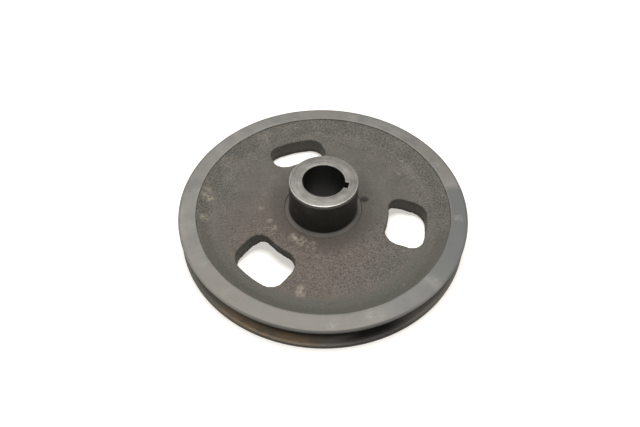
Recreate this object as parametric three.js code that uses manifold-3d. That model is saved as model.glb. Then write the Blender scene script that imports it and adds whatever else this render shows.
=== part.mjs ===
// Single-groove V belt pulley, 200 mm across, for a 17 mm wide belt. Units are millimetres.
// +Z runs along the bore towards the long end of the hub, z = 0 is the lower face of the rim,
// and the keyway points along +X.
import * as THREE from 'three';
import { mergeVertices } from 'three/addons/utils/BufferGeometryUtils.js';
import Module from 'manifold-3d';

// Rim: the grooved outer ring.
const OUTER_RADIUS = 100;
const RIM_WIDTH = 20;
const GROOVE_TOP_WIDTH = 17;
const GROOVE_DEPTH = 13.5;
const GROOVE_HALF_ANGLE = THREE.MathUtils.degToRad(18);
const EDGE_BREAK_WIDTH = 1.4;
const EDGE_BREAK_DEPTH = 0.25;
const TURNED_FACE_RADIUS = 88.4;
const TURNED_FACE_STEP = 0.8;
const RIM_SEAT_RADIUS = 76;
const RIM_SEAT_CHAMFER = 0.4;

// Web: the dished disc with three windows. Underneath it is thinner near the hub than near the rim.
const WEB_TOP_AT_HUB = 18.4;
const WEB_TOP_CROWN = 19.1;
const WEB_TOP_AT_RIM = 13.6;
const CROWN_INNER_RADIUS = 34;
const CROWN_OUTER_RADIUS = 46;
const WEB_UNDER_AT_HUB = 10.5;
const UNDER_THIN_RADIUS = 46;
const UNDER_THIN_HEIGHT = 11.5;
const UNDER_THICK_RADIUS = 54;
const UNDER_THICK_HEIGHT = 5.6;
const WINDOW_COUNT = 3;
const FIRST_WINDOW_ANGLE = THREE.MathUtils.degToRad(3.6);
const WINDOW_INNER_RADIUS = 45.8;
const WINDOW_OUTER_RADIUS = 72.8;
const WINDOW_HALF_WIDTH = 20;
const WINDOW_CORNER_RADIUS = 10;

// Hub: the turned cylinder with bore and keyway.
const HUB_LENGTH = 45.7;
const HUB_TOP_RADIUS = 23;
const HUB_LEAD_IN_RADIUS = 23.35;
const HUB_LEAD_IN_DEPTH = 2.4;
const HUB_ROOT_RADIUS = 23.5;
const HUB_SEAT_RADIUS = 27;
const HUB_FOOT_FILLET = 1.4;
const HUB_EDGE_CHAMFER = 0.6;
const BORE_RADIUS = 14;
const BORE_CHAMFER = 0.5;
const KEYWAY_WIDTH = 5;
const KEYWAY_BOTTOM_RADIUS = 17;

// Half of the clearance left where two pieces meet, and the number of flats round each piece.
const HALF_GAP = 0.15;
const RIM_SEGMENTS = 96;
const HUB_SEGMENTS = 64;
const CORNER_SEGMENTS = 6;
const CUT_OVERRUN = 5;

const IRON_TURNED = { color: 0x8f8c84, roughness: 0.5, metalness: 0.6 };
const IRON_AS_CAST = { color: 0x5b5650, roughness: 0.85, metalness: 0.25 };
const IRON_HUB = { color: 0x6e6e68, roughness: 0.45, metalness: 0.6 };

const wasm = await Module();
wasm.setup();

// A lathe turns its profile about Y, so the result is laid over to turn about Z.
function turned(profile, segments) {
  const points = profile.map(([radius, height]) => new THREE.Vector2(radius, height));
  points.push(points[0].clone());
  return new THREE.LatheGeometry(points, segments).rotateX(Math.PI / 2);
}

function toSolid(geometry) {
  const bare = geometry.clone();
  bare.deleteAttribute('normal');
  bare.deleteAttribute('uv');
  const merged = mergeVertices(bare, 1e-4);
  return new wasm.Manifold(new wasm.Mesh({
    numProp: 3,
    vertProperties: new Float32Array(merged.attributes.position.array),
    triVerts: new Uint32Array(merged.index.array),
  }));
}

function toGeometry(solid) {
  const mesh = solid.getMesh();
  const geometry = new THREE.BufferGeometry();
  geometry.setAttribute('position', new THREE.BufferAttribute(mesh.vertProperties, 3));
  geometry.setIndex(new THREE.BufferAttribute(mesh.triVerts, 1));
  geometry.computeVertexNormals();
  return geometry;
}

function namedMesh(name, geometry, finish) {
  const mesh = new THREE.Mesh(geometry, new THREE.MeshStandardMaterial(finish));
  mesh.name = name;
  return mesh;
}

// The rim's section: lower face, lower land, V groove, upper land, turned top face, inner flank.
function rimGeometry() {
  const land = (RIM_WIDTH - GROOVE_TOP_WIDTH) / 2;
  const floorRadius = OUTER_RADIUS - GROOVE_DEPTH;
  const floorEdge = land + GROOVE_DEPTH * Math.tan(GROOVE_HALF_ANGLE);
  const seat = RIM_SEAT_RADIUS + HALF_GAP;
  const flankRise = RIM_WIDTH - TURNED_FACE_STEP - WEB_TOP_AT_RIM;
  return turned([
    [seat, RIM_SEAT_CHAMFER],
    [seat + RIM_SEAT_CHAMFER, 0],
    [OUTER_RADIUS - EDGE_BREAK_WIDTH, 0],
    [OUTER_RADIUS, EDGE_BREAK_DEPTH],
    [OUTER_RADIUS, land],
    [floorRadius, floorEdge],
    [floorRadius, RIM_WIDTH - floorEdge],
    [OUTER_RADIUS, RIM_WIDTH - land],
    [OUTER_RADIUS, RIM_WIDTH - EDGE_BREAK_DEPTH],
    [OUTER_RADIUS - EDGE_BREAK_WIDTH, RIM_WIDTH],
    [TURNED_FACE_RADIUS, RIM_WIDTH],
    [TURNED_FACE_RADIUS - 0.3, RIM_WIDTH - TURNED_FACE_STEP],
    [RIM_SEAT_RADIUS + 4, WEB_TOP_AT_RIM + flankRise * 0.2],
    [seat, WEB_TOP_AT_RIM],
  ], RIM_SEGMENTS);
}

// A window's outline about the pulley's axis, with its middle on +X. The ends are arcs round the
// axis, the sides are straight and parallel, and each corner is an arc tangent to both.
function windowShape() {
  const corner = WINDOW_CORNER_RADIUS;
  const side = WINDOW_HALF_WIDTH - corner;
  const outerCorner = Math.sqrt((WINDOW_OUTER_RADIUS - corner) ** 2 - side ** 2);
  const innerCorner = Math.sqrt((WINDOW_INNER_RADIUS + corner) ** 2 - side ** 2);
  const outerSpread = Math.atan2(side, outerCorner);
  const innerSpread = Math.atan2(side, innerCorner);
  const quarter = Math.PI / 2;
  const shape = new THREE.Shape();
  shape.absarc(0, 0, WINDOW_OUTER_RADIUS, -outerSpread, outerSpread, false);
  shape.absarc(outerCorner, side, corner, outerSpread, quarter, false);
  shape.absarc(innerCorner, side, corner, quarter, Math.PI + innerSpread, false);
  shape.absarc(0, 0, WINDOW_INNER_RADIUS, innerSpread, -innerSpread, true);
  shape.absarc(innerCorner, -side, corner, Math.PI - innerSpread, Math.PI + quarter, false);
  shape.absarc(outerCorner, -side, corner, -quarter, -outerSpread, false);
  return shape;
}

function windowCutter(angle) {
  const depth = RIM_WIDTH + 2 * CUT_OVERRUN;
  return new THREE.ExtrudeGeometry(windowShape(), { depth, bevelEnabled: false, curveSegments: CORNER_SEGMENTS })
    .translate(0, 0, -CUT_OVERRUN)
    .rotateZ(angle);
}

function webGeometry() {
  const inner = HUB_SEAT_RADIUS + HALF_GAP;
  const outer = RIM_SEAT_RADIUS - HALF_GAP;
  let disc = toSolid(turned([
    [inner, WEB_UNDER_AT_HUB],
    [UNDER_THIN_RADIUS, UNDER_THIN_HEIGHT],
    [UNDER_THICK_RADIUS, UNDER_THICK_HEIGHT],
    [outer, RIM_SEAT_CHAMFER],
    [outer, WEB_TOP_AT_RIM],
    [CROWN_OUTER_RADIUS, WEB_TOP_CROWN],
    [CROWN_INNER_RADIUS, WEB_TOP_CROWN],
    [inner, WEB_TOP_AT_HUB],
  ], RIM_SEGMENTS));
  for (let i = 0; i < WINDOW_COUNT; i += 1) {
    const angle = FIRST_WINDOW_ANGLE + (i * 2 * Math.PI) / WINDOW_COUNT;
    disc = disc.subtract(toSolid(windowCutter(angle)));
  }
  return toGeometry(disc);
}

// The hub's section: lower end, seat in the web, foot fillet, tapered side, lead-in, top and bore.
function hubGeometry() {
  const shaft = toSolid(turned([
    [BORE_RADIUS + BORE_CHAMFER, 0],
    [HUB_ROOT_RADIUS - HUB_EDGE_CHAMFER, 0],
    [HUB_ROOT_RADIUS, HUB_EDGE_CHAMFER],
    [HUB_ROOT_RADIUS, WEB_UNDER_AT_HUB - HUB_FOOT_FILLET],
    [HUB_ROOT_RADIUS + HUB_FOOT_FILLET * 0.3, WEB_UNDER_AT_HUB - HUB_FOOT_FILLET * 0.3],
    [HUB_SEAT_RADIUS - HALF_GAP, WEB_UNDER_AT_HUB],
    [HUB_SEAT_RADIUS - HALF_GAP, WEB_TOP_AT_HUB],
    [HUB_ROOT_RADIUS + HUB_FOOT_FILLET, WEB_TOP_AT_HUB],
    [HUB_ROOT_RADIUS + HUB_FOOT_FILLET * 0.3, WEB_TOP_AT_HUB + HUB_FOOT_FILLET * 0.3],
    [HUB_ROOT_RADIUS, WEB_TOP_AT_HUB + HUB_FOOT_FILLET],
    [HUB_LEAD_IN_RADIUS, HUB_LENGTH - HUB_LEAD_IN_DEPTH],
    [HUB_TOP_RADIUS, HUB_LENGTH],
    [BORE_RADIUS + BORE_CHAMFER, HUB_LENGTH],
    [BORE_RADIUS, HUB_LENGTH - BORE_CHAMFER],
    [BORE_RADIUS, BORE_CHAMFER],
  ], HUB_SEGMENTS));
  const keyway = new THREE.BoxGeometry(KEYWAY_BOTTOM_RADIUS, KEYWAY_WIDTH, HUB_LENGTH + 2 * CUT_OVERRUN)
    .translate(KEYWAY_BOTTOM_RADIUS / 2, 0, HUB_LENGTH / 2);
  return toGeometry(shaft.subtract(toSolid(keyway)));
}

const pulley = new THREE.Group();
pulley.add(
  namedMesh('rim', rimGeometry(), IRON_TURNED),
  namedMesh('web', webGeometry(), IRON_AS_CAST),
  namedMesh('hub', hubGeometry(), IRON_HUB),
);
export default pulley;
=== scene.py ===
# A single-groove V belt pulley lying on its rim with the long end of the hub up. It is a turned and
# grooved iron rim round a sand-cast web with three windows, with a turned hub seated in the web.
import math

import bmesh
import bpy
import numpy as np
from mathutils import Matrix, Vector, noise


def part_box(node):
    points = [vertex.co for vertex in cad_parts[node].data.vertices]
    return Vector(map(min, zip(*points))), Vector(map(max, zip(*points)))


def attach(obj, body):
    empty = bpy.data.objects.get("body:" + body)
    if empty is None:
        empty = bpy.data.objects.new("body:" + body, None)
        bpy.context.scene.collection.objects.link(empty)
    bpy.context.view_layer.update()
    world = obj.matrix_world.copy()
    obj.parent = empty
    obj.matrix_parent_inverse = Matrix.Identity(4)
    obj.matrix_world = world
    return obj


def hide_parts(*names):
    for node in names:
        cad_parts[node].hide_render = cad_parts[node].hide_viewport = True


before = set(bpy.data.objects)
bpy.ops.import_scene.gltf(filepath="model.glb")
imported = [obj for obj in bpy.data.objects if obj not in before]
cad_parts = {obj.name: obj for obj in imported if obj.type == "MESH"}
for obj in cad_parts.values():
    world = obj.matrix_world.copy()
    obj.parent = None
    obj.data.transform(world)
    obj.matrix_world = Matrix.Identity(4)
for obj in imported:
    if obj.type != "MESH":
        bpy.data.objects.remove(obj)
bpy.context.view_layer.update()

mm = 0.001
scene = bpy.context.scene

# --- Camera ------------------------------------------------------------------------------------
# It stands at arm's length, about 50 degrees above the bench, and looks at the middle of the rim's
# upper face. It leans by less than a degree.
CAMERA_AT = Vector((70.2, -285.6, 365.5)) * mm
CAMERA_ROLL = math.radians(0.852)
CAMERA_LENS = 36.65
CAMERA_SENSOR = 36.0
rim_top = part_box("rim")[1].z
looked_at = Vector((-0.3 * mm, -7.5 * mm, rim_top))
camera_data = bpy.data.cameras.new("camera")
camera_data.sensor_width = CAMERA_SENSOR
camera_data.lens = CAMERA_LENS
camera_data.clip_start = 10 * mm
camera = bpy.data.objects.new("camera", camera_data)
scene.collection.objects.link(camera)
aim = (looked_at - CAMERA_AT).to_track_quat("-Z", "Y").to_matrix().to_4x4()
camera.matrix_world = Matrix.Translation(CAMERA_AT) @ aim @ Matrix.Rotation(CAMERA_ROLL, 4, "Z")
scene.camera = camera

# --- Light and bench -----------------------------------------------------------------------------
# A large soft box hangs straight above, a weaker one leans in from the back left, and the room is
# a dim white. The bench is a frosted white light table, which glows through the pulley's windows.
scene.view_settings.view_transform = "Standard"


def from_srgb(code):
    """A hex colour such as "8f8c84" as linear red, green, blue and alpha."""
    channels = [int(code[i:i + 2], 16) / 255 for i in (0, 2, 4)]
    linear = [c / 12.92 if c <= 0.04045 else ((c + 0.055) / 1.055) ** 2.4 for c in channels]
    return (*linear, 1.0)


def add(tree, kind, inputs=None, **settings):
    """Adds one node with its settings. An input is a value, or another node's output to link."""
    node = tree.nodes.new("ShaderNode" + kind)
    for name, value in settings.items():
        setattr(node, name, value)
    for name, value in (inputs or {}).items():
        if isinstance(value, bpy.types.NodeSocket):
            tree.links.new(value, node.inputs[name])
        else:
            node.inputs[name].default_value = value
    return node


def new_material(name):
    """An empty node material and its output node."""
    material = bpy.data.materials.new(name)
    material.use_nodes = True
    material.node_tree.nodes.clear()
    return material, add(material.node_tree, "OutputMaterial")


def soft_box(name, place, size, power):
    """A square area light at place, turned to face the pulley."""
    light = bpy.data.lights.new(name, "AREA")
    light.size = size
    light.energy = power
    holder = bpy.data.objects.new(name, light)
    scene.collection.objects.link(holder)
    turn = (-place).to_track_quat("-Z", "Y").to_matrix().to_4x4()
    holder.matrix_world = Matrix.Translation(place) @ turn


soft_box("overhead_box", place=Vector((0.0, 0.0, 1.6)), size=0.7, power=30.0)
soft_box("back_left_box", place=Vector((-0.55, 0.95, 1.5)), size=0.9, power=7.0)

room = bpy.data.worlds.new("room")
room.use_nodes = True
scene.world = room
room_light = room.node_tree.nodes["Background"]
room_light.inputs["Color"].default_value = from_srgb("fdfcff")
room_light.inputs["Strength"].default_value = 0.2

# Frosted glass over lamps: an even, slightly warm white on which nothing casts a hard shadow.
BENCH_HALF_WIDTH = 4.0
glass, glass_out = new_material("frosted_light_table")
glass_skin = add(glass.node_tree, "BsdfPrincipled", {
    "Base Color": from_srgb("c8c6c2"), "Roughness": 0.9, "Specular IOR Level": 0.1,
    "Emission Color": from_srgb("fffbf5"), "Emission Strength": 0.53})
glass.node_tree.links.new(glass_skin.outputs["BSDF"], glass_out.inputs["Surface"])

bench_mesh = bpy.data.meshes.new("bench")
bm = bmesh.new()
bmesh.ops.create_grid(bm, x_segments=1, y_segments=1, size=BENCH_HALF_WIDTH)
bm.to_mesh(bench_mesh)
bm.free()
bench_mesh.materials.append(glass)
bench = bpy.data.objects.new("bench", bench_mesh)
scene.collection.objects.link(bench)

# --- Web ----------------------------------------------------------------------------------------
# The web is the sand-cast iron disc between rim and hub. It is dished, 8 to 13 mm thick, and has
# three windows with round corners. Its edges are soft and its skin is grainy, as the mould left it.
WEB_SEAT_OUT = 76.0
WEB_SEAT_IN = 27.0
WINDOW_IN = 45.8
WINDOW_OUT = 72.8
WINDOW_HALF_WIDTH = 20.0
WINDOW_CORNER = 10.0
FIRST_WINDOW = math.radians(3.6)
WINDOW_COUNT = 3
CORE_LOW = -6.0
CORE_HEIGHT = 34.0
# The corners of the web's underside, and of the rim's cast flank, which has the same skin.
UNDER_RADII = (46.0, 54.0, 74.5)
UNDER_HEIGHTS = (11.5, 5.6, 0.4)
FLANK_FOOT = (78.5, 13.6)
FLANK_TOP = (84.0, 16.9)
# Half the gap drawn where two pieces meet, and the finest step of the cast surface.
SEAM = 0.02
CAST_VOXEL = 0.66
WEB_STEPS = 128
SEAT_STEPS = 360
SEAT_LOW = -6.0
SEAT_HIGH = 26.0
SAME_PLACE = 0.001 * mm
SLIVER = 0.002 * mm
# The dark dimple beside the hub is a slightly oval pit.
DIMPLE = Vector((26.1, 14.5))
DIMPLE_RADIUS = 3.3
DIMPLE_SHORTENING = 0.82
DIMPLE_TURN = math.radians(14)
DIMPLE_DEPTH = 1.2
# How wide the mould sand's lumps, swells and grains are, and which way its coarse part lies.
TOWARDS_BACK = Vector((-0.24, 0.97))
LUMP, SWELL, GRAIN = 9.0 * mm, 3.4 * mm, 1.5 * mm
web_section = [
    (18.0, 10.5, 0), (27.0, 10.5, 0), *zip(UNDER_RADII, UNDER_HEIGHTS, (3, 3, 1.5)),
    (84.0, 0.4, 0), (*FLANK_TOP, 0), (*FLANK_FOOT, 2.5), (73.5, 13.6, 3), (46.0, 19.1, 8),
    (34.0, 19.1, 6), (18.0, 18.0, 0)]


def turn_section(bm, corners, steps, cell=None):
    """Turns a section, given as (radius, height, how far its rounding reaches) in mm, into a ring.
    Wide roundings get more segments. cell says how long a step along the section may be, in mm."""
    made = [bm.verts.new((radius * mm, 0, height * mm)) for radius, height, _ in corners]
    bm.faces.new(made)
    for reach in sorted({c[2] for c in corners if c[2]}):
        chosen = [v for v, c in zip(made, corners) if c[2] == reach]
        bmesh.ops.bevel(bm, geom=chosen, offset=reach * mm, offset_type="OFFSET",
                        segments=5 if reach > 1 else 2, profile=0.5, affect="VERTICES", material=-1)
    bmesh.ops.delete(bm, geom=bm.faces[:], context="FACES_ONLY")
    for edge in bm.edges[:] if cell else []:
        middle = (edge.verts[0].co + edge.verts[1].co) / 2
        cuts = math.ceil(edge.calc_length() / mm / cell(middle)) - 1
        if cuts > 0:
            bmesh.ops.subdivide_edges(bm, edges=[edge], cuts=cuts)
    bmesh.ops.spin(bm, geom=bm.verts[:] + bm.edges[:], cent=(0, 0, 0), axis=(0, 0, 1),
                   angle=2 * math.pi, steps=steps, use_merge=True)
    bmesh.ops.remove_doubles(bm, verts=bm.verts, dist=SAME_PLACE)
    bmesh.ops.recalc_face_normals(bm, faces=bm.faces)


def finish_mesh(name, bm):
    """Makes an object of a bmesh, at the origin."""
    mesh = bpy.data.meshes.new(name)
    bm.to_mesh(mesh)
    bm.free()
    piece = bpy.data.objects.new(name, mesh)
    scene.collection.objects.link(piece)
    return piece


def sweep_arc(bm, vert, centre, angle, steps):
    """Draws an arc from a vertex round a centre and returns its last vertex."""
    swept = bmesh.ops.spin(bm, geom=[vert], cent=(centre[0], centre[1], vert.co.z), axis=(0, 0, 1),
                           angle=angle, steps=steps)
    return [g for g in swept["geom_last"] if isinstance(g, bmesh.types.BMVert)][0]


def window_core(bm, turn):
    """The sand core that leaves one window: arcs round the axis at its ends, straight sides."""
    side = WINDOW_HALF_WIDTH - WINDOW_CORNER
    far = math.sqrt((WINDOW_OUT - WINDOW_CORNER) ** 2 - side ** 2)
    near = math.sqrt((WINDOW_IN + WINDOW_CORNER) ** 2 - side ** 2)
    far_spread = math.atan2(side, far)
    near_spread = math.atan2(side, near)
    start = (WINDOW_OUT * math.cos(far_spread) * mm, -WINDOW_OUT * math.sin(far_spread) * mm,
             CORE_LOW * mm)
    at = sweep_arc(bm, bm.verts.new(start), (0, 0), 2 * far_spread, 16)
    at = sweep_arc(bm, at, (far * mm, side * mm), math.pi / 2 - far_spread, 12)
    at = bmesh.ops.extrude_vert_indiv(bm, verts=[at])["verts"][0]
    at.co.x = near * mm
    at = sweep_arc(bm, at, (near * mm, side * mm), math.pi / 2 + near_spread, 16)
    at = sweep_arc(bm, at, (0, 0), -2 * near_spread, 12)
    at = sweep_arc(bm, at, (near * mm, -side * mm), math.pi / 2 + near_spread, 16)
    at = bmesh.ops.extrude_vert_indiv(bm, verts=[at])["verts"][0]
    at.co.x = far * mm
    sweep_arc(bm, at, (far * mm, -side * mm), math.pi / 2 - far_spread, 12)
    bmesh.ops.remove_doubles(bm, verts=bm.verts, dist=SAME_PLACE)
    outline = bmesh.ops.contextual_create(bm, geom=bm.edges[:])["faces"]
    risen = bmesh.ops.extrude_face_region(bm, geom=outline)["geom"]
    top = [g for g in risen if isinstance(g, bmesh.types.BMVert)]
    bmesh.ops.translate(bm, verts=top, vec=(0, 0, CORE_HEIGHT * mm))
    bmesh.ops.rotate(bm, verts=bm.verts, cent=(0, 0, 0), matrix=Matrix.Rotation(turn, 3, "Z"))
    bmesh.ops.recalc_face_normals(bm, faces=bm.faces)


def settle(piece):
    """Applies every modifier on a piece."""
    graph = bpy.context.evaluated_depsgraph_get()
    made = bpy.data.meshes.new_from_object(piece.evaluated_get(graph))
    piece.modifiers.clear()
    piece.data = made


def cut(piece, tool, operation):
    """Cuts a piece with a tool object, then throws the tool away."""
    step = piece.modifiers.new("cut", "BOOLEAN")
    step.operation = operation
    step.solver = "MANIFOLD"
    step.object = tool
    settle(piece)
    bpy.data.objects.remove(tool)


def blend(value, low, high):
    """0 below low, 1 above high, and a smooth rise between them."""
    share = min(max((value - low) / (high - low), 0.0), 1.0)
    return share * share * (3 - 2 * share)


def from_dimple(point):
    """How far a point is from the dimple's middle, in mm, measured so that the dimple is oval."""
    offset = (point.xy / mm - DIMPLE).to_3d()
    offset.rotate(Matrix.Rotation(-DIMPLE_TURN, 3, "Z"))
    return math.hypot(offset.x * DIMPLE_SHORTENING, offset.y)


def coarseness(point):
    """0 where the mould was smooth and 1 where its sand was coarse: the outer web at the back and
    the sides, and the web between the windows at the front."""
    flat = Vector((point.x, point.y)) / mm
    to_back = flat.normalized().dot(TOWARDS_BACK) if flat.length > 1 else 0
    behind = blend(flat.length, 58, 70) * blend(to_back, -0.55, 0.2)
    between = blend(flat.length, 32, 44) * (1 - blend(flat.length, 67, 73))
    return max(behind, between * blend(-to_back, 0.0, 0.6))


def sand_skin(point):
    """How far the mould's sand pushed the skin out at a point, in metres: lumps, then grain."""
    coarse = coarseness(point)
    lumps = noise.noise(point / LUMP)
    swells = noise.noise(point / SWELL + Vector((5, 0, 0)))
    grain = noise.noise(point / GRAIN + Vector((0, 9, 0)))
    return (0.12 * lumps + (0.04 + 0.14 * coarse) * swells + (0.02 + 0.14 * coarse) * grain) * mm


def soften_edges(mesh, limit):
    """Shades a mesh smooth, except across edges sharper than limit."""
    mesh.shade_smooth()
    mesh.set_sharp_from_angle(angle=math.radians(limit))


def mark(mesh, name, measure):
    """Stores a value worked out at each vertex, for a material to read."""
    layer = mesh.attributes.new(name, "FLOAT", "POINT")
    layer.data.foreach_set("value", [measure(v) for v in mesh.vertices])


bm = bmesh.new()
turn_section(bm, web_section, WEB_STEPS)
cast_web = finish_mesh("cast_web", bm)
for number in range(WINDOW_COUNT):
    bm = bmesh.new()
    window_core(bm, FIRST_WINDOW + number * 2 * math.pi / WINDOW_COUNT)
    cut(cast_web, finish_mesh("window_core", bm), "DIFFERENCE")

# The mould rounds every edge and leaves its sand's relief. The dimple is sunk from above.
remesh = cast_web.modifiers.new("mould", "REMESH")
remesh.mode = "VOXEL"
remesh.voxel_size = CAST_VOXEL * mm
rounding = cast_web.modifiers.new("rounding", "SMOOTH")
rounding.factor = 0.5
rounding.iterations = 9
settle(cast_web)

bm = bmesh.new()
bm.from_mesh(cast_web.data)
bm.normal_update()
pushes = [v.normal * sand_skin(v.co) for v in bm.verts]
for v, push in zip(bm.verts, pushes):
    v.co += push
    if v.co.z > 15 * mm:
        v.co.z -= DIMPLE_DEPTH * (1 - blend(from_dimple(v.co), 0.4, DIMPLE_RADIUS)) * mm
bm.to_mesh(cast_web.data)
bm.free()

# The seats for rim and hub are turned true, and the slivers that this leaves are merged.
seat_in, seat_out = WEB_SEAT_IN + SEAM, WEB_SEAT_OUT - SEAM
bm = bmesh.new()
turn_section(bm, [(seat_in, SEAT_LOW, 0), (seat_out, SEAT_LOW, 0),
                  (seat_out, SEAT_HIGH, 0), (seat_in, SEAT_HIGH, 0)], SEAT_STEPS)
cut(cast_web, finish_mesh("seats", bm), "INTERSECT")
bm = bmesh.new()
bm.from_mesh(cast_web.data)
bmesh.ops.remove_doubles(bm, verts=bm.verts, dist=SLIVER)
bm.to_mesh(cast_web.data)
bm.free()
soften_edges(cast_web.data, 50)

REDDEST = Vector((-8.0, -36.0))
REDDEST_REACH = 15.0
REDDENED_REACH = 80.0
# Where moulding sand is still burnt on: x and y, how far it reaches, and how much there is.
sand_spots = [
    (-82.0, -10.0, 6.0, 1.0), (-84.5, -4.0, 4.0, 0.7), (-77.4, -29.0, 4.5, 0.9),
    (-41.0, -12.7, 2.6, 0.9), (-27.1, -26.8, 2.8, 1.0), (-32.0, -22.0, 3.0, 0.5),
    (-12.2, -31.3, 4.8, 1.0), (-6.2, -33.5, 6.0, 0.75), (1.1, -34.9, 5.5, 0.7),
    (3.4, -68.6, 5.5, 1.0), (65.7, -47.1, 2.5, 0.5), (44.8, 63.9, 2.5, 0.5),
    (50.0, 56.0, 7.0, 0.3), (55.7, 49.8, 5.0, 0.3), (44.5, 48.9, 3.0, 0.4),
    (-62.0, 58.0, 8.0, 0.4), (-80.0, 24.0, 8.0, 0.4)]


def redness(point):
    """How much red-brown oxide the cast skin has at a point."""
    return 1 - blend((point.xy / mm - REDDEST).length, REDDEST_REACH, REDDENED_REACH)


def burnt_sand(point):
    """How much burnt-on sand there is at a point."""
    here = point.xy / mm
    return max(most * (1 - blend((here - Vector((x, y))).length, 0.2 * reach, reach))
               for x, y, reach, most in sand_spots)


def painted_wall_shade(vert):
    """1 on a window's wall, which is painted dark as a painted shade, and 0 elsewhere."""
    inside = blend(vert.co.xy.length / mm, 36, 40) * (1 - blend(vert.co.xy.length / mm, 75, 75.8))
    return inside * (1 - blend(abs(vert.normal.z), 0.25, 0.75))


def wall_foot(vert):
    """1 at the lower edge of a window's wall, where it is darker and browner, and 0 above it."""
    radius = vert.co.xy.length / mm
    underside = float(np.interp(radius, UNDER_RADII, UNDER_HEIGHTS))
    return 1 - blend(vert.co.z / mm - underside, 0.8, 4.6)


def dark_dimple(vert):
    """1 in the dimple beside the hub, and 0 elsewhere."""
    return 1 - blend(from_dimple(vert.co), 1.3, DIMPLE_RADIUS)


def hub_shade_and_smooth_skin(vert):
    """1 beside the hub, painted darker: a painted shade from the hub, and a smoother, darker skin;
    0 out by the windows.
    """
    return 1 - blend(vert.co.xy.length / mm, 30, 46)


def painted_flank_shade(vert):
    """1 on the smooth band inside the turned face, painted darker and greener as a painted shade of
    the slope, strongest at the front.
    """
    radius = vert.co.xy.length / mm
    to_front = -vert.co.xy.normalized().dot(TOWARDS_BACK) if radius > 1 else 0
    return blend(radius, 71, 76) * blend(to_front, 0.1, 0.7)


cast_marks = {
    "coarseness": lambda vert: coarseness(vert.co), "redness": lambda vert: redness(vert.co),
    "burnt_sand": lambda vert: burnt_sand(vert.co), "painted_wall_shade": painted_wall_shade, "wall_foot": wall_foot,
    "dark_dimple": dark_dimple, "hub_shade_and_smooth_skin": hub_shade_and_smooth_skin, "painted_flank_shade": painted_flank_shade}
for name, measure in cast_marks.items():
    mark(cast_web.data, name, measure)

# Grey iron as it left the sand mould: a dark brown-grey fire skin, dull and grainy, mottled where
# the sand was coarse, redder where it has begun to rust, with pale crumbs of burnt-on sand.
cast_skin, skin_out = new_material("sand_cast_iron_skin")
tree = cast_skin.node_tree
place = add(tree, "TexCoord").outputs["Object"]
marks = {name: add(tree, "Attribute", attribute_name=name).outputs["Fac"] for name in cast_marks}
clouds = add(tree, "TexNoise", {
    "Vector": place, "Scale": 1 / (16 * mm), "Detail": 4.0, "Roughness": 0.6}).outputs["Fac"]
grains = add(tree, "TexNoise", {
    "Vector": place, "Scale": 1 / (1.15 * mm), "Detail": 4.0, "Roughness": 0.75}).outputs["Fac"]
crumbs = add(tree, "TexNoise", {
    "Vector": place, "Scale": 1 / (2.8 * mm), "Detail": 3.0, "Roughness": 0.7}).outputs["Fac"]
cloud_share = add(tree, "MapRange", {
    "Value": clouds, "From Min": 0.35, "From Max": 0.65}).outputs["Result"]
fire_skin = add(tree, "MixRGB", {
    "Fac": cloud_share, "Color1": from_srgb("53504a"),
    "Color2": from_srgb("5d5952")}).outputs["Color"]
rust_share = add(tree, "MapRange", {
    "Value": crumbs, "From Min": 0.3, "From Max": 0.65, "To Min": 0.5}).outputs["Result"]
rust_amount = add(tree, "Math", {
    0: rust_share, 1: marks["redness"]}, operation="MULTIPLY").outputs["Value"]
rusted = add(tree, "MixRGB", {
    "Fac": rust_amount, "Color1": fire_skin, "Color2": from_srgb("5c524a")}).outputs["Color"]
# Painted shade on the slope up to the rim, at the front: darker and a little greener.
flank_shaded = add(tree, "MixRGB", {
    "Fac": marks["painted_flank_shade"], "Color1": rusted, "Color2": from_srgb("504f48")}).outputs["Color"]
# Grain: each grain is lighter or darker than the skin round it, more so where the sand was coarse.
grain_swing = add(tree, "MapRange", {
    "Value": marks["coarseness"], "To Min": 1.5, "To Max": 3.8}).outputs["Result"]
grain_height = add(tree, "Math", {0: grains, 1: 0.5}, operation="SUBTRACT").outputs["Value"]
grain_gain = add(tree, "Math", {
    0: grain_height, 1: grain_swing, 2: 1.0}, operation="MULTIPLY_ADD").outputs["Value"]
# Painted shade from the hub, with a smoother, darker skin, dims the skin beside it.
hub_dim = add(tree, "MapRange", {
    "Value": marks["hub_shade_and_smooth_skin"], "To Min": 1.0, "To Max": 0.66}).outputs["Result"]
gain = add(tree, "Math", {0: grain_gain, 1: hub_dim}, operation="MULTIPLY").outputs["Value"]
grained = add(tree, "VectorMath", {0: flank_shaded, "Scale": gain}, operation="SCALE").outputs["Vector"]
sand_amount = add(tree, "MapRange", {
    "Value": crumbs, "From Min": 0.42, "From Max": 0.6}).outputs["Result"]
sand_share = add(tree, "Math", {
    0: sand_amount, 1: marks["burnt_sand"]}, operation="MULTIPLY").outputs["Value"]
sanded = add(tree, "MixRGB", {
    "Fac": sand_share, "Color1": grained, "Color2": from_srgb("8b8475")}).outputs["Color"]
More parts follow.
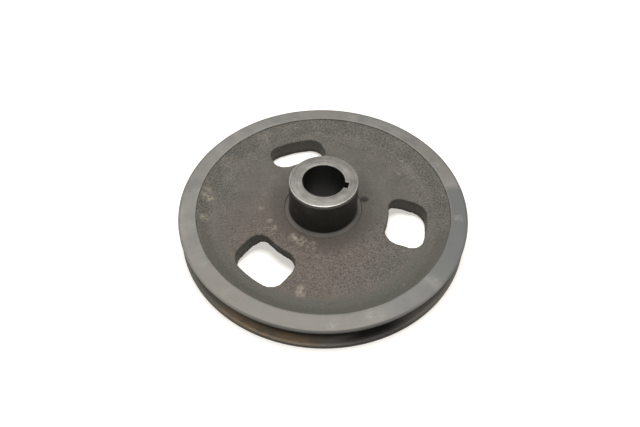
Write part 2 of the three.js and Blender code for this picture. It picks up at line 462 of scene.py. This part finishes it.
# Painted shade makes the windows' walls dark grey, darker and browner at the foot; the dimple is
# near black.
wall = add(tree, "MixRGB", {
    "Fac": marks["wall_foot"], "Color1": from_srgb("46443d"),
    "Color2": from_srgb("20160e")}).outputs["Color"]
grained_wall = add(tree, "VectorMath", {
    0: wall, "Scale": grain_gain}, operation="SCALE").outputs["Vector"]
wall_shaded = add(tree, "MixRGB", {
    "Fac": marks["painted_wall_shade"], "Color1": sanded, "Color2": grained_wall}).outputs["Color"]
dimpled = add(tree, "MixRGB", {
    "Fac": marks["dark_dimple"], "Color1": wall_shaded, "Color2": from_srgb("262521")}).outputs["Color"]
dullness = add(tree, "MapRange", {
    "Value": grains, "To Min": 0.6, "To Max": 0.85}).outputs["Result"]
relief = add(tree, "Bump", {
    "Height": grains, "Distance": 0.2 * mm, "Strength": 1.0}).outputs["Normal"]
skin_shader = add(tree, "BsdfPrincipled", {
    "Base Color": dimpled, "Roughness": dullness, "Specular IOR Level": 0.3, "Normal": relief})
tree.links.new(skin_shader.outputs["BSDF"], skin_out.inputs["Surface"])
cast_web.data.materials.clear()
cast_web.data.materials.append(cast_skin)
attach(cast_web, "root")
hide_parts("web")

# --- Rim ----------------------------------------------------------------------------------------
# The rim is the outer part of the casting, turned in a lathe on its faces and in the groove that
# carries the belt. Inside the turned face its cast flank slopes down to the web.
RIM_OUT = 100.0
RIM_TOP = 20.0
GROOVE_FLOOR = 86.5
TURNED_FACE_IN = 88.4
# The inner edge of the turned face lies a little off the casting's centre, this far this way.
FACE_OFF_CENTRE = 1.05
FACE_OFF_TOWARDS = math.radians(99)
RIM_STEPS = 720
rim_section = [
    (WEB_SEAT_OUT + SEAM, 0.4, 0), (76.4, 0, 0), (98.6, 0, 0.3), (RIM_OUT, 0.25, 0.1),
    (RIM_OUT, 1.5, 0.3), (GROOVE_FLOOR, 5.886, 1.2), (GROOVE_FLOOR, 14.114, 1.2),
    (RIM_OUT, 18.5, 0.3), (RIM_OUT, 19.75, 0.1), (98.6, RIM_TOP, 0.2),
    (TURNED_FACE_IN, RIM_TOP, 0.1), (TURNED_FACE_IN - 0.25, 19.2, 0.2), (*FLANK_TOP, 1.2),
    (*FLANK_FOOT, 2.5), (WEB_SEAT_OUT + SEAM, 13.6, 0)]
TURNED_FACE, CAST_FLANK, GROOVE = range(3)


def rim_cell(middle):
    """The longest step along the rim's section, in mm: fine where the cast skin shows."""
    radius, height = middle.x / mm, middle.z / mm
    if height > 13 and radius < TURNED_FACE_IN:
        return 0.65
    return 1.5 if height > RIM_TOP - 0.1 or (height < 6 and radius > GROOVE_FLOOR) else 5.0


def rim_finish(middle):
    """Which finish a face of the rim has."""
    radius, height = middle.xy.length / mm, middle.z / mm
    if 10 < height < RIM_TOP - 0.05 and 76.1 < radius < TURNED_FACE_IN - 0.05:
        return GROOVE if radius > 86 and height < 16.5 else CAST_FLANK
    if radius > 86 and 0.2 < height < 18.4:
        return GROOVE
    return TURNED_FACE


def rim_push(vert):
    """How far a point of the rim lies from the true section: by the relief of the sand on the cast
    flank, and by the turned face's inner edge, which is off centre and a little uneven."""
    radius, height = vert.co.xy.length / mm, vert.co.z / mm
    as_cast = (1 - blend(radius, 87.2, 88.0)) * blend(height, 12.5, 13.3) if radius < 88.1 else 0
    outward = Vector((vert.co.x, vert.co.y, 0)).normalized()
    off = FACE_OFF_CENTRE * math.cos(math.atan2(vert.co.y, vert.co.x) - FACE_OFF_TOWARDS)
    off += 0.2 * noise.noise(outward * 6)
    near_edge = blend(radius, 80, 88) * (1 - blend(radius, 89, 97)) * blend(height, 14.5, 17)
    return vert.normal * sand_skin(vert.co) * as_cast + outward * off * near_edge * mm


bm = bmesh.new()
turn_section(bm, rim_section, RIM_STEPS, rim_cell)
for face in bm.faces:
    face.material_index = rim_finish(face.calc_center_median())
bm.normal_update()
pushes = [rim_push(v) for v in bm.verts]
for v, push in zip(bm.verts, pushes):
    v.co += push
grooved_rim = finish_mesh("grooved_rim", bm)
soften_edges(grooved_rim.data, 32)


def turn_angle(point):
    """A point's angle round the axis from the keyway, in degrees from -180 to 180."""
    return math.degrees(math.atan2(point.y, point.x))


def about(angle, middle, full, none):
    """1 within full degrees of the middle, 0 from none degrees on, and a smooth fall between."""
    return 1 - blend(abs(angle - middle), full, none)


def oil_wiped(vert):
    """How dark oil has left the turned face: a wiped stretch beside the keyway, then a smear."""
    angle = turn_angle(vert.co)
    stretch = blend(angle, -30, -22) * (1 - blend(angle, 23.5, 28.5))
    smear = 0.45 * about(angle, -40, 6, 16)
    return max(0.88 * stretch, smear)


def front_edge_dark(vert):
    """How much darker the outer edge is made at the front."""
    return blend(vert.co.xy.length / mm, 98.3, 98.9) * about(turn_angle(vert.co), -75, 15, 50)


# Browner stretches of the turned face: the middle's angle, how far each side of it is in full and
# where it ends, in degrees, and how brown it is.
brown_stretches = [(44, 8, 18, 0.8), (-97, 20, 60, 0.9), (100, 4, 16, 0.7), (172, 3, 10, 0.5)]


def browned(vert):
    """How brown the oxide on the turned face is."""
    angle = turn_angle(vert.co)
    return max(most * about(angle, middle, full, none)
               for middle, full, none, most in brown_stretches)


# Pale scuffs on the turned face: x and y, how far each reaches, and how strong it is.
scuffs = [
    (50.8, -77.5, 6.0, 0.6), (57.0, -75.5, 4.5, 0.5), (29.1, -91.3, 4.5, 0.6),
    (-1.1, 95.1, 6.0, 0.5), (70.5, 60.0, 5.5, 0.4), (84.0, -42.0, 5.0, 0.4),
    (-62.0, -68.0, 5.0, 0.4), (-40.0, -84.0, 6.0, 0.4)]


def scuffed(vert):
    """How pale a scuff has left the turned face. One of them is a square print."""
    here = vert.co.xy / mm
    angle, radius = turn_angle(vert.co), here.length
    print_mark = (blend(angle, 6.6, 7.2) * (1 - blend(angle, 9.9, 10.6))
                  * blend(radius, 90.3, 91.2) * (1 - blend(radius, 96.0, 97.2)))
    rubbed = max(most * (1 - blend((here - Vector((x, y))).length, 0.1 * reach, reach))
                 for x, y, reach, most in scuffs)
    return max(0.42 * print_mark, rubbed)


def groove_rust(vert):
    """How brown the belt groove is: most at the front left."""
    return 0.05 + 0.95 * about(turn_angle(vert.co), -98, 12, 27)


def groove_oil_and_shade(vert):
    """How black the groove is made: deep in the V as a painted shade, all of a stretch at the front
    by old oil, and the narrow land under it, most at the front."""
    radius = vert.co.xy.length / mm
    angle = turn_angle(vert.co)
    stretch = about(angle, -55, 4, 20) * (1 - 0.55 * blend(radius, 95, 99))
    land = blend(radius, 98.9, 99.7) * (0.41 + 0.52 * about(angle, -76, 25, 60))
    return max(stretch, land, 1 - blend(radius, 92, 96.5))


face_marks = {
    "oil_wiped": oil_wiped, "browned": browned, "scuffed": scuffed, "front_edge_dark": front_edge_dark}
groove_marks = {"groove_rust": groove_rust, "groove_oil_and_shade": groove_oil_and_shade}
for name, measure in (cast_marks | face_marks | groove_marks).items():
    mark(grooved_rim.data, name, measure)


def turned_iron(finish, dark, light, streak=0.9, dull=0.5, blotch=12.0, metal=0.5,
                rings_show=0.45):
    """Turned grey iron, dulled by handling. The tool left fine rings round the axis, drawn here as
    coarse as they need to be to show, and a thin oxide makes it blotchy. streak and blotch are
    their sizes in mm. The face marks are the rim's alone, so on the hub they read as none."""
    material, out = new_material(finish)
    tree = material.node_tree
    place = add(tree, "TexCoord").outputs["Object"]
    parts = add(tree, "SeparateXYZ", {"Vector": place}).outputs
    flat = add(tree, "CombineXYZ", {"X": parts["X"], "Y": parts["Y"]}).outputs["Vector"]
    radius = add(tree, "VectorMath", {0: flat}, operation="LENGTH").outputs["Value"]
    around = add(tree, "VectorMath", {0: flat}, operation="NORMALIZE").outputs["Vector"]
    along = add(tree, "Math", {0: radius, 1: parts["Z"]}, operation="ADD").outputs["Value"]
    along_marks = add(tree, "Math", {
        0: along, 1: 1 / (streak * mm)}, operation="MULTIPLY").outputs["Value"]
    rise = add(tree, "CombineXYZ", {"Z": along_marks}).outputs["Vector"]
    track = add(tree, "VectorMath", {0: around, 1: rise}, operation="ADD").outputs["Vector"]
    rings = add(tree, "TexNoise", {"Vector": track, "Scale": 1.0, "Detail": 2.0}).outputs["Fac"]
    blotches = add(tree, "TexNoise", {
        "Vector": place, "Scale": 1 / (blotch * mm), "Detail": 4.0,
        "Roughness": 0.55}).outputs["Fac"]
    ring_part = add(tree, "Math", {0: rings, 1: 0.5}, operation="SUBTRACT").outputs["Value"]
    mixed = add(tree, "Math", {
        0: ring_part, 1: rings_show, 2: blotches}, operation="MULTIPLY_ADD").outputs["Value"]
    share = add(tree, "MapRange", {
        "Value": mixed, "From Min": 0.28, "From Max": 0.72}).outputs["Result"]
    oxide = add(tree, "MixRGB", {
        "Fac": share, "Color1": from_srgb(dark), "Color2": from_srgb(light)}).outputs["Color"]
    marks = {name: add(tree, "Attribute", attribute_name=name).outputs["Fac"]
             for name in face_marks}
    brown_part = add(tree, "Math", {
        0: marks["browned"], 1: share}, operation="MULTIPLY").outputs["Value"]
    browner = add(tree, "MixRGB", {
        "Fac": brown_part, "Color1": oxide, "Color2": from_srgb("726d64")}).outputs["Color"]
    oiled = add(tree, "MixRGB", {
        "Fac": marks["oil_wiped"], "Color1": browner,
        "Color2": from_srgb("61625f")}).outputs["Color"]
    scratches = add(tree, "TexNoise", {
        "Vector": place, "Scale": 1 / (2.5 * mm), "Detail": 3.0, "Roughness": 0.7}).outputs["Fac"]
    scratched = add(tree, "MapRange", {
        "Value": scratches, "From Min": 0.4, "From Max": 0.6}).outputs["Result"]
    scuff_share = add(tree, "Math", {
        0: scratched, 1: marks["scuffed"]}, operation="MULTIPLY").outputs["Value"]
    colour = add(tree, "MixRGB", {
        "Fac": scuff_share, "Color1": oiled, "Color2": from_srgb("8f8c86")}).outputs["Color"]
    gloss = add(tree, "MapRange", {
        "Value": rings, "To Min": dull - 0.08, "To Max": dull + 0.08}).outputs["Result"]
    relief = add(tree, "Bump", {
        "Height": rings, "Distance": 0.02 * mm, "Strength": 0.5}).outputs["Normal"]
    edged = add(tree, "MixRGB", {
        "Fac": marks["front_edge_dark"], "Color1": colour, "Color2": from_srgb("403f3b")}).outputs["Color"]
    shader = add(tree, "BsdfPrincipled", {
        "Base Color": edged, "Metallic": metal, "Roughness": gloss, "Normal": relief})
    tree.links.new(shader.outputs["BSDF"], out.inputs["Surface"])
    return material


# The groove was turned too, but has never been polished by a belt. Brown rust sits in the oxide.
# Deep in the V the groove is painted black as a painted shade; old oil blackens a stretch at the
# front.
groove, groove_out = new_material("rusted_shaded_turned_groove")
tree = groove.node_tree
place = add(tree, "TexCoord").outputs["Object"]
rust = add(tree, "Attribute", attribute_name="groove_rust").outputs["Fac"]
oil = add(tree, "Attribute", attribute_name="groove_oil_and_shade").outputs["Fac"]
stains = add(tree, "TexNoise", {
    "Vector": place, "Scale": 1 / (6 * mm), "Detail": 4.0, "Roughness": 0.6}).outputs["Fac"]
stained = add(tree, "MapRange", {
    "Value": stains, "From Min": 0.3, "From Max": 0.6}).outputs["Result"]
rust_share = add(tree, "Math", {0: stained, 1: rust}, operation="MULTIPLY").outputs["Value"]
groove_colour = add(tree, "MixRGB", {
    "Fac": rust_share, "Color1": from_srgb("9c9890"),
    "Color2": from_srgb("c4ad8c")}).outputs["Color"]
groove_oiled_and_shaded = add(tree, "MixRGB", {
    "Fac": oil, "Color1": groove_colour, "Color2": from_srgb("2e2c28")}).outputs["Color"]
groove_shader = add(tree, "BsdfPrincipled", {
    "Base Color": groove_oiled_and_shaded, "Metallic": 0.2, "Roughness": 0.6})
tree.links.new(groove_shader.outputs["BSDF"], groove_out.inputs["Surface"])

# The turned face is a flat mid grey that shines only softly.
dulled_face = turned_iron("dulled_turned_iron", "6b6a66", "817e78", dull=0.6)
for finish in (dulled_face, cast_skin, groove):
    grooved_rim.data.materials.append(finish)
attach(grooved_rim, "root")
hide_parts("rim")

# --- Hub ----------------------------------------------------------------------------------------
# The hub is a turned iron cylinder seated in the web, with a smooth fillet at its foot. It is bored
# for the shaft, and one keyway is broached from end to end.
HUB_TOP = 45.7
HUB_STEPS = 240
BROACH_REACH = 17.0
BROACH_WIDTH = 5.0
BROACH_LENGTH = 60.0
hub_section = [
    (14.5, 0, 0), (22.9, 0, 0.2), (23.5, 0.6, 0.2), (23.5, 10.5, 1.3),
    (WEB_SEAT_IN - SEAM, 10.5, 0), (WEB_SEAT_IN - SEAM, 18.0, 0), (26.5, 18.4, 0.1),
    (23.45, 18.4, 1.3), (23.35, 43.3, 0.5), (23.0, HUB_TOP, 0.3), (14.4, HUB_TOP, 0.1),
    (14.0, 45.3, 0.1), (14.0, 0.5, 0)]
HUB_SIDE, HUB_FACE, BORE, HUB_FOOT, LEAD_IN, CORNER, SEAM_EDGE = range(7)


def hub_finish(middle):
    """Which finish a face of the hub has."""
    radius, height = middle.xy.length / mm, middle.z / mm
    if radius > 14.3 and (height > HUB_TOP - 0.04 or height < 0.3):
        return HUB_FACE
    if radius < 17.5:
        return BORE
    if radius > 26.55 and height > 17.9:
        return SEAM_EDGE
    if height > HUB_TOP - 0.33:
        return CORNER
    if height > 43.2:
        return LEAD_IN
    return HUB_FOOT if 17.9 < height < 19.3 else HUB_SIDE


bm = bmesh.new()
turn_section(bm, hub_section, HUB_STEPS)
turned_hub = finish_mesh("turned_hub", bm)
bm = bmesh.new()
bmesh.ops.create_cube(
    bm, size=1.0, matrix=Matrix.Translation(Vector((BROACH_REACH / 2, 0, HUB_TOP / 2)) * mm)
    @ Matrix.Diagonal((BROACH_REACH * mm, BROACH_WIDTH * mm, BROACH_LENGTH * mm, 1)))
cut(turned_hub, finish_mesh("keyway_broach", bm), "DIFFERENCE")
soften_edges(turned_hub.data, 35)
turned_hub.data.materials.clear()
# One finish for each slot, in the slots' order. The side is dark iron, nearly black and a little
# glossy, painted darker still as a painted shade where light from above only grazes it; the upper
# face is bright with clear tool rings, and the bore is painted black as a painted shade. The foot
# and the lead-in are wiped dull and grey, the corner is painted light as a painted highlight, and
# rust lies along the seam.
hub_finishes = (
    turned_iron("dark_oxide_shaded_side", "3a3a35", "484842", dull=0.45, metal=0.7),
    turned_iron("faced_turned_iron", "62605b", "86837d", streak=1.1, blotch=8.0,
                rings_show=0.9),
    turned_iron("shaded_bore_iron", "22221f", "2e2e2a", metal=0.6),
    turned_iron("wiped_foot_fillet", "4a4742", "59554f", dull=0.6, metal=0.3),
    turned_iron("wiped_lead_in", "64625d", "72706b"),
    turned_iron("painted_highlight_corner", "b2b1ac", "c8c7c2", dull=0.42, metal=0.6),
    turned_iron("rusted_seam_edge", "41332b", "544339", dull=0.7, metal=0.1))
for finish in hub_finishes:
    turned_hub.data.materials.append(finish)
for face in turned_hub.data.polygons:
    face.material_index = hub_finish(face.center)
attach(turned_hub, "root")
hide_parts("hub")
